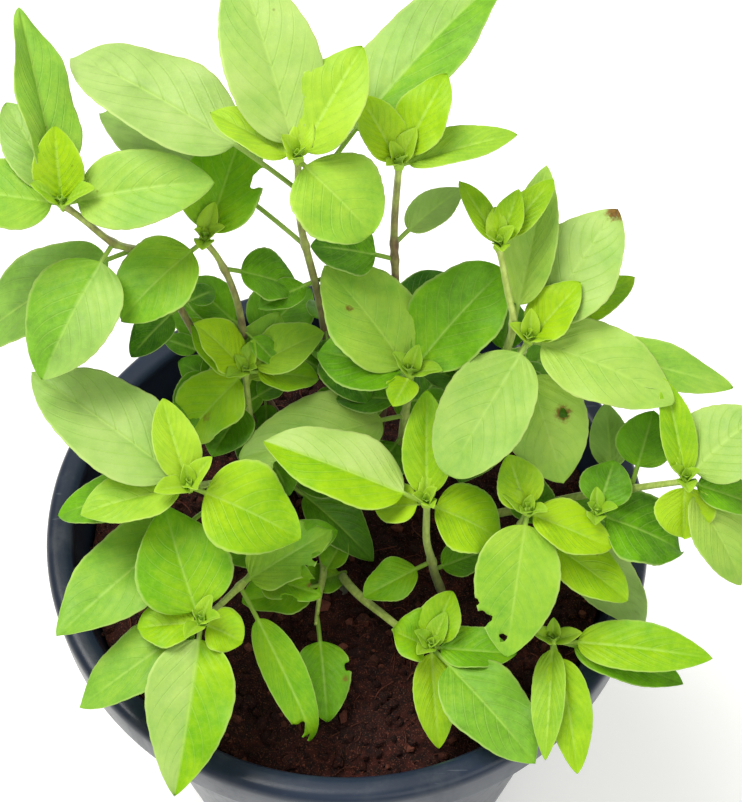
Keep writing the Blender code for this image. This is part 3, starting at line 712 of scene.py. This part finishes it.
def make_soil(material):
    """Root ball turned about Z, its top moved to soil_height, plus loose crumbs and coir fibres."""
    rng = np.random.default_rng(5)

    def ball(z):
        return outside(z) - WALL - FIT_GAP

    edge = ball(SOIL_TOP - 0.004)
    rings = [(r, SOIL_TOP) for r in np.linspace(0, edge, 105)]
    profile = rings + [(ball(SOIL_TOP - 0.009), SOIL_TOP - 0.009), (ball(0.012), 0.012),
                       (ball(0.004) - 0.004, FLOOR + FIT_GAP), (0, FLOOR + FIT_GAP)]
    points, quads, tris, uv = turned(profile[::-1], 240)
    top = points[:, 2] > SOIL_TOP - 0.001
    points[top, 2] = soil_height(points[top, 0], points[top, 1])
    piece = Piece()
    piece.add(points, quads, tris, uv=uv, crumb_tone=0.48)
    piece.build("soil_bed", material, "soil_cocopeat", ["soil"])

    golden = (1 + 5 ** 0.5) / 2
    ico = np.array([(a, b, 0) for a in (-1, 1) for b in (-golden, golden)], float)
    ico = np.concatenate([ico, ico[:, [2, 0, 1]], ico[:, [1, 2, 0]]]) / math.hypot(1, golden)
    faces = np.array([(i, j, k) for i in range(12) for j in range(i + 1, 12) for k in range(j + 1, 12)
                      if max(np.linalg.norm(ico[i] - ico[j]), np.linalg.norm(ico[j] - ico[k]),
                             np.linalg.norm(ico[k] - ico[i])) < 1.1])
    a, b, c = (ico[faces[:, k]] for k in range(3))
    inward = np.einsum("ij,ij->i", np.cross(b - a, c - a), a) < 0
    faces[inward] = faces[inward][:, ::-1]
    count = CRUMB_COUNT
    r, a = 0.0865 * np.sqrt(rng.random(count)), rng.random(count) * math.tau
    x, y = r * np.cos(a), r * np.sin(a)
    size = 0.0005 + 0.0021 * rng.random(count) ** 3
    shape = ico[None] * rng.uniform(0.65, 1.35, (count, 12, 1)) * rng.uniform(0.6, 1.3, (count, 1, 3))
    z = soil_height(x, y) + size * 0.35
    lumps = shape * size[:, None, None] + np.stack([x, y, z], -1)[:, None]
    piece = Piece()
    piece.add(lumps, tris=(faces[None] + 12 * np.arange(count)[:, None, None]).reshape(-1, 3),
              crumb_tone=np.repeat(np.clip(rng.normal(0.45, 0.24, count), 0, 1), 12))
    piece.build("soil_crumbs", material, "soil_cocopeat", smooth=False)

    piece = Piece()
    for k in range(FIBRE_COUNT):
        r, a, turn = 0.083 * math.sqrt(rng.random()), rng.random() * math.tau, rng.random() * math.tau
        length = rng.uniform(0.004, 0.016)
        t = np.linspace(-0.5, 0.5, 8)
        heading = turn + rng.uniform(-2.0, 2.0) * t
        x = r * math.cos(a) + np.cumsum(np.cos(heading)) * length / 8
        y = r * math.sin(a) + np.cumsum(np.sin(heading)) * length / 8
        inside = np.minimum(1, 0.085 / np.hypot(x, y))
        x, y = x * inside, y * inside
        z = soil_height(x, y) + 0.0006 + rng.uniform(-0.0006, 0.0012) * (1 - 4 * t * t)
        rod, quads, tris, _, _ = tube(np.stack([x, y, z], -1), np.full(8, rng.uniform(0.00010, 0.00026)), 4)
        piece.add(rod, quads, tris, crumb_tone=rng.uniform(0.45, 1.0))
    piece.build("soil_fibres", material, "soil_cocopeat")


# ---- plant
STEM_SHARE = 0.9  # radius of the fine stem as a share of the solid's
RUNNER_START = 0.2  # the runner's stem starts at this share of its line and drops straight into the soil
JOINT_SWELL, LEAF_END_SWELL, JOINT_LENGTH = 0.00035, 0.0001, 0.0022
SOIL_REACH = 0.004  # how far the stems go on into the soil


def make_stems(lines, material):
    """Each stem is a rounded square tube along its shoot, thicker at the joints where leaves leave it. A
    shoot without a tip narrows towards its end."""
    joints = {name: [1.0] for name in SHOOTS}
    for shoot, share, *_ in SIDE_LEAVES:
        joints[shoot].append(share)
    for k, (name, line) in enumerate(lines.items()):
        run = run_of(line)
        share = np.linspace(RUNNER_START if name == "runner" else 0.0, 1, int(run[-1] / 0.0012) + 4)
        path = np.stack([np.interp(share * run[-1], run, line[:, i]) for i in range(3)], -1)
        radius = STEM_SHARE * (STEM_BASE + (STEM_TIP - STEM_BASE) * share)
        swell = JOINT_SWELL
        if name not in TIP_LEAVES:
            radius, swell = radius * (1 - 0.55 * share ** 3), LEAF_END_SWELL
        for joint in joints[name]:
            radius = radius + swell * np.exp(-((share - joint) * run[-1] / JOINT_LENGTH) ** 2)
        wobble = 0.0003 * np.stack([np.sin(share * 9 + k), np.cos(share * 11 + 2 * k), 0 * share], -1)
        path = path + wobble * (np.sin(share * math.pi) ** 2)[:, None]
        drop = (0, 0, path[0][2] - SOIL_TOP + SOIL_REACH)
        first = path[0] + (path[1] - path[0]) * (0.02, 0.02, 0.0) - drop
        path, radius = np.vstack([first, path]), np.concatenate([[radius[0] * 1.25], radius])
        points, quads, tris, along_it, around = tube(path, radius, 14, 0.07)
        piece = Piece()
        piece.add(points, quads, tris, uv=np.stack([along_it, around], -1), stem_share=along_it,
                  stem_around=around, stem_tint=STEM_TINT.get(name, 0.35))
        piece.build(f"fine_stem_{name}", material, "stem_green", [f"stem_{name}"])


def look_of(shoot, group, number):
    """Look of a shoot's leaf: its tone and what LOOKS adds. Group 0 is the tip's leaves, 1 the side leaves."""
    node = f"{('tip', 'leaf')[group]}_{shoot}_{number}"
    return {"tone": TONES[shoot][group][number - 1], **LOOKS.get(node, {})}


def make_plant(green, young):
    """Tips with their bud and bud leaves, then the side leaves, each in place of its solid."""
    lines = {name: shoot_path(points, 24) for name, points in SHOOTS.items()}
    for k, (shoot, shapes) in enumerate(TIP_LEAVES.items()):
        piece, line = Piece(), lines[shoot]
        top = line[-1]
        add_bud(piece, top + (0, 0, 0.0006), 0.0019, k)
        for i, shape in enumerate(shapes):
            add_leaf(piece, top, shape, look_of(shoot, 0, i + 1), 100 * k + i)
        rng = np.random.default_rng(900 + k)
        spin, tone = rng.uniform(0, 360), rng.uniform(0.75, 1.0)
        for i in range(6):
            length = (12, 11, 9, 8, 5, 5)[i] * rng.uniform(0.8, 1.2)
            shape = (spin + (i % 2) * 180 + (i // 2) * 90 + rng.uniform(-12, 12),
                     38 + 9 * i + rng.uniform(-6, 6), length, length * 0.55, 1, 25, 30, rng.uniform(-8, 8))
            add_leaf(piece, top, shape, {"tone": tone, "pale": 0.1}, 5000 + 10 * k + i)
        piece.build(f"fine_tip_{shoot}", young, "young_leaf_green", [f"tip_{shoot}"])
    count = {}
    for k, (shoot, share, *shape) in enumerate(SIDE_LEAVES):
        count[shoot] = count.get(shoot, 0) + 1
        node = f"leaf_{shoot}_{count[shoot]}"
        point, tangent, radius = along(lines[shoot], share)
        turn, pitch = math.radians(shape[0]), math.radians(shape[1] + shape[5] / 2)
        out = np.array([math.cos(turn) * math.cos(pitch), math.sin(turn) * math.cos(pitch), math.sin(pitch)])
        reach = (radius + LEAF_THICK / 2 + FIT_GAP) / max(0.4, np.linalg.norm(np.cross(out, tangent)))
        shape[2] += reach / UNIT
        shape[4] += reach / UNIT
        piece = Piece()
        add_leaf(piece, point, shape, look_of(shoot, 1, count[shoot]), 3000 + k)
        piece.build(f"fine_{node}", green, "leaf_green", [node])
    return lines


def make_small_leaves(lines, green):
    """One piece of leaves that the part doesn't have: small old ones in opposite pairs, then MORE_LEAVES."""
    rng = np.random.default_rng(77)
    piece = Piece()
    for k, (name, line) in enumerate(lines.items()):
        for share in SMALL_PAIRS.get(name, ()):
            point = along(line, share)[0]
            turn = rng.uniform(0, 360)
            for flip in (0, 180):
                length = rng.uniform(14, 26)
                shape = (turn + flip + rng.uniform(-15, 15), rng.uniform(-25, 20), length,
                         length * rng.uniform(0.45, 0.62), 4, 25, rng.uniform(8, 25), rng.uniform(-15, 15))
                add_leaf(piece, point, shape, {"tone": rng.uniform(0.05, 0.42), "fine": 0.7},
                         7000 + 50 * k + int(100 * share) + flip)
    for k, (name, share, *shape, tone) in enumerate(MORE_LEAVES):
        look = {"tone": tone, **LOOKS.get(f"more_{k + 1}", {})}
        add_leaf(piece, along(lines[name], share)[0], (*shape, 0), look, 9000 + k)
    piece.build("low_leaves", green, "leaf_green")


# ---- how each leaf looks
# Tones, 0 old and dark .. 1 young and bright: the tip's leaves, then the side leaves, in the tables' order.
TONES = {
    "back_left": ((0.50, 0.45, 0.85, 0.55, 0.60), (0.50, 0.45)),
    "left_thin": ((0.55, 0.52), (0.35, 0.35, 0.42)),
    "back_tall": ((0.60, 0.85, 0.85, 0.68), (0.50, 0.45, 0.55)),
    "back_right": ((0.85, 0.80, 0.70), (0.50, 0.20)),
    "right_tall": ((0.75, 0.80, 0.75), (0.75,)),
    "right_mid": ((0.60, 0.88, 0.55, 0.65, 0.70, 0.55), (0.78,)),
    "centre": ((0.42, 0.66, 0.30, 0.80), (0.72,)),
    "left_mid": ((0.70, 0.90, 0.72, 0.62), ()),
    "left_low": ((0.50, 0.90, 0.80, 0.72, 0.45), (0.25, 0.60)),
    "front_left": ((0.50, 0.75, 0.78, 0.60), (0.62, 0.60, 0.60)),
    "front": ((0.70, 0.85, 0.75, 0.75), (0.60,)),
    "front_right": ((0.80, 0.90, 0.62), (0.85,)),
    "rim_right": ((0.65, 0.68, 0.78), ()),
    "right_low": ((0.70, 0.60, 0.90, 0.35, 0.70), (0.45, 0.50)),
    "right_inner": ((0.25, 0.28), (0.50,)),
    "runner": ((0.60, 0.75, 0.82, 0.45, 0.40), ()),
    "drooping": ((), (0.45, 0.55)),
}
# What else a leaf has. pale: a painted sheen, the sky's pale reflection painted on the whole blade, or, as
# pale_left and pale_right, on its left or right half. wave: height of the edge waves as a share of the width.
# curl: degrees that the tip turns down. base, point: powers of the outline at the stalk and at the tip. lift:
# degrees added to the table's. bites: (along, across, radius) of holes and nibbled edges. stains: (along,
# across, radius, strength).
LOOKS = {
    "tip_back_left_1": {"pale": 0.2, "wave": 0.07},
    "tip_back_left_2": {"pale": 0.55},
    "tip_back_left_4": {"pale": 0.2},
    "tip_back_left_5": {"pale": 0.35},
    "leaf_back_left_1": {"pale_left": 0.45, "pale_right": 0.1},
    "leaf_back_left_2": {"pale": 0.3},
    "tip_left_thin_1": {"pale": 0.1},
    "tip_left_thin_2": {"bites": [(0.55, -0.9, 3.0)]},
    "tip_back_tall_1": {"pale": 0.65, "stains": [(0.85, -0.5, 2.5, 0.9)]},
    "tip_back_tall_2": {"pale": 0.15},
    "tip_back_tall_3": {"pale": 0.10},
    "tip_back_tall_4": {"pale": 0.2, "point": 0.55},
    "leaf_back_tall_1": {"pale": 0.8},
    "leaf_back_tall_2": {"pale": 0.6},
    "leaf_back_tall_3": {"pale_left": 0.55, "pale_right": 0.10},
    "tip_back_right_3": {"pale": 0.15},
    "leaf_back_right_1": {"pale": 0.6},
    "leaf_right_tall_1": {"pale": 0.35},
    "tip_right_mid_1": {"pale": 0.65, "stains": [(0.97, 0.0, 3.5, 1.0)]},
    "tip_right_mid_2": {"lift": 5},
    "tip_right_mid_3": {"pale": 0.45, "point": 0.55},
    "tip_right_mid_5": {"pale": 0.45, "lift": 4},
    "tip_right_mid_6": {"pale": 0.25, "lift": -5},
    "leaf_right_mid_1": {"pale": 0.35, "bites": [(0.40, 0.45, 1.5)],
                         "stains": [(0.40, 0.45, 3.4, 0.9)]},
    "tip_centre_1": {"wave": 0.04, "point": 0.6},
    "tip_centre_2": {"pale": 0.25, "stains": [(0.6, 0.3, 1.6, 0.9)]},
    "tip_centre_3": {"lift": 6},
    "leaf_centre_1": {"pale": 0.5, "bites": [(0.75, 0.9, 3.0)]},
    "tip_left_mid_1": {"pale": 0.1},
    "tip_left_mid_3": {"wave": 0.09, "stains": [(0.55, 0.2, 3.0, 0.55)]},
    "tip_left_low_1": {"pale": 0.7},
    "tip_left_low_2": {"pale": 0.1},
    "tip_left_low_3": {"pale": 0.15},
    "tip_left_low_4": {"point": 0.95},
    "leaf_left_low_1": {"point": 0.95, "wave": 0.03},
    "leaf_left_low_2": {"pale": 0.2},
    "tip_front_left_1": {"point": 0.95, "base": 0.5},
    "tip_front_left_4": {"pale_right": 0.6, "point": 0.95},
    "leaf_front_left_1": {"pale": 0.2},
    "leaf_front_left_2": {"wave": 0.09, "bites": [(0.25, 0.9, 2.6), (0.6, -0.9, 2.2), (0.85, 0.8, 2.0)],
                          "stains": [(0.3, 0.6, 2.5, 0.9), (0.8, 0.4, 2.0, 0.8)]},
    "leaf_front_left_3": {"curl": 50, "bites": [(0.82, -1.0, 3.0), (0.93, -0.8, 1.5)]},
    "tip_front_4": {"pale_right": 0.75},
    "leaf_front_1": {"wave": 0.07},
    "tip_front_right_3": {"pale": 0.15,
                          "bites": [(0.74, -0.95, 2.6), (0.86, -0.3, 1.3), (0.62, -1.0, 1.2)]},
    "tip_rim_right_2": {"pale": 0.1},
    "tip_right_low_2": {"pale": 0.6},
    "tip_right_low_5": {"pale": 0.35},
    "leaf_right_low_2": {"pale": 0.5},
    "leaf_right_inner_1": {"pale": 0.7},
    "tip_runner_1": {"wave": 0.06},
    "tip_runner_4": {"wave": 0.05},
    "tip_runner_5": {"pale": 0.12},
    "more_6": {"wave": 0.06},
    "more_7": {"wave": 0.06, "pale": 0.15},
    "more_20": {"pale": 0.15, "wave": 0.08,
                "bites": [(0.55, -0.95, 2.4), (0.82, 0.9, 1.8), (0.70, -0.8, 1.6)]},
    "more_22": {"wave": 0.07, "bites": [(0.7, 0.8, 1.6)]},
    "leaf_drooping_1": {"wave": 0.06, "bites": [(0.36, 1.0, 1.9), (0.72, -1.0, 1.4)],
                        "stains": [(0.5, 0.8, 2.0, 0.6)]},
}
# Leaves that only this file has: the columns of SIDE_LEAVES, with the tone in place of the roll. LOOKS calls
# them more_ and their number.
MORE_LEAVES = [
    ("rim_right", 0.97, 343, -8, 44, 15, 8, 15, 12, 0.45),
    ("back_left", 0.42, 250, -5, 26, 15, 4, 20, 15, 0.40),
    ("back_left", 0.30, 150, 15, 24, 15, 4, 20, 15, 0.30),
    ("left_thin", 0.30, 200, 5, 30, 18, 4, 20, 12, 0.38),
    ("left_mid", 0.62, 120, 20, 30, 20, 4, 20, 12, 0.35),
    ("left_mid", 0.96, 140, 30, 26, 15, 3, 20, 18, 0.80),
    ("left_mid", 0.90, 60, 35, 26, 17, 3, 20, 15, 0.68),
    ("left_mid", 0.80, 240, -5, 22, 16, 3, 20, 15, 0.30),
    ("left_mid", 0.62, 300, -10, 26, 17, 4, 20, 12, 0.30),
    ("centre", 0.45, 60, 10, 30, 19, 4, 20, 12, 0.22),
    ("centre", 0.45, 235, -5, 28, 17, 4, 20, 12, 0.20),
    ("right_mid", 0.45, 250, -5, 32, 20, 4, 20, 12, 0.25),
    ("right_mid", 0.45, 40, 10, 28, 18, 4, 20, 12, 0.30),
    ("right_tall", 0.55, 330, 0, 28, 17, 4, 20, 12, 0.30),
    ("back_tall", 0.40, 300, 0, 26, 17, 4, 20, 12, 0.18),
    ("back_tall", 0.30, 150, 0, 28, 17, 4, 20, 12, 0.25),
    ("right_inner", 0.55, 120, 15, 24, 15, 4, 20, 12, 0.25),
    ("front_left", 0.40, 190, 15, 24, 15, 3, 20, 12, 0.35),
    ("front", 0.30, 20, 5, 20, 13, 3, 20, 12, 0.35),
    ("front_left", 0.70, 28, 14, 33, 19, 3, 25, 12, 0.66),
    ("front_left", 0.45, 20, 8, 22, 14, 3, 25, 12, 0.50),
    ("runner", 0.10, 215, 20, 19, 12, 3, 20, 15, 0.60),
    ("drooping", 0.55, 60, 15, 15, 9, 3, 20, 15, 0.55),
]
# How woody a stem's base is, 0.35 where not given.
STEM_TINT = {"back_tall": 0.9, "back_right": 0.95, "back_left": 0.9, "left_thin": 0.95, "right_tall": 0.6,
             "centre": 0.55, "right_mid": 0.5, "left_mid": 0.6, "drooping": 0.25, "runner": 0.25}
# Shares of the stem where a pair of small old leaves sits.
SMALL_PAIRS = {"back_left": (0.25, 0.45, 0.6), "left_thin": (0.3, 0.62), "back_tall": (0.3, 0.45, 0.6),
               "back_right": (0.3, 0.5), "right_tall": (0.3, 0.5, 0.65), "right_mid": (0.35, 0.6),
               "centre": (0.3, 0.75), "left_mid": (0.45, 0.8), "left_low": (0.35,), "right_low": (0.4,)}


# ---- build, light and camera
green, young = leaf_material("leaf_green", -0.04), leaf_material("young_leaf_green", 0.04)
make_pot(pot_material())
make_soil(soil_material())
shoots = make_plant(green, young)
make_stems(shoots, stem_material())
make_small_leaves(shoots, green)

ground = Piece()
side = 3.0
ground.add([(-side, -side, 0), (side, -side, 0), (side, side, 0), (-side, side, 0)], [(0, 1, 2, 3)])
floor = ground.build("floor", floor_material())
floor.location.z = -0.0002


def soft_light(name, size, power, place, aim, colour=(1.0, 1.0, 1.0)):
    """Square area light at place, facing aim."""
    light = bpy.data.lights.new(name, "AREA")
    light.shape, light.size = "SQUARE", size
    light.energy, light.color = power, colour
    obj = bpy.data.objects.new(name, light)
    bpy.context.scene.collection.objects.link(obj)
    obj.location = place
    heading = np.asarray(aim, float) - np.asarray(place, float)
    obj.rotation_euler = (math.atan2(math.hypot(heading[0], heading[1]), -heading[2]), 0,
                          math.atan2(heading[1], heading[0]) - math.pi / 2)


soft_light("sky_panel", 0.9, 30.0, (-0.62, 0.18, 1.75), (0, 0, 0.2), (1.0, 0.99, 0.93))
soft_light("front_fill", 1.2, 9.0, (0.7, -1.2, 1.2), (0, 0, 0.18), (1.0, 1.0, 0.95))
world = bpy.data.worlds.new("studio")
world.use_nodes = True
world.node_tree.nodes["Background"].inputs["Color"].default_value = (1.0, 1.0, 0.95, 1)
world.node_tree.nodes["Background"].inputs["Strength"].default_value = 0.66
bpy.context.scene.world = world
bpy.context.scene.view_settings.view_transform = "Standard"

lens = bpy.data.cameras.new("camera")
lens.lens, lens.sensor_width, lens.sensor_fit = 115.11, 36.0, "AUTO"
lens.clip_start, lens.clip_end = 0.05, 20.0
camera = bpy.data.objects.new("camera", lens)
bpy.context.scene.collection.objects.link(camera)
camera.location = (0.0078886, -0.4314076, 0.8973848)
camera.rotation_euler = (math.radians(33.235), 0, 0)
bpy.context.scene.camera = camera
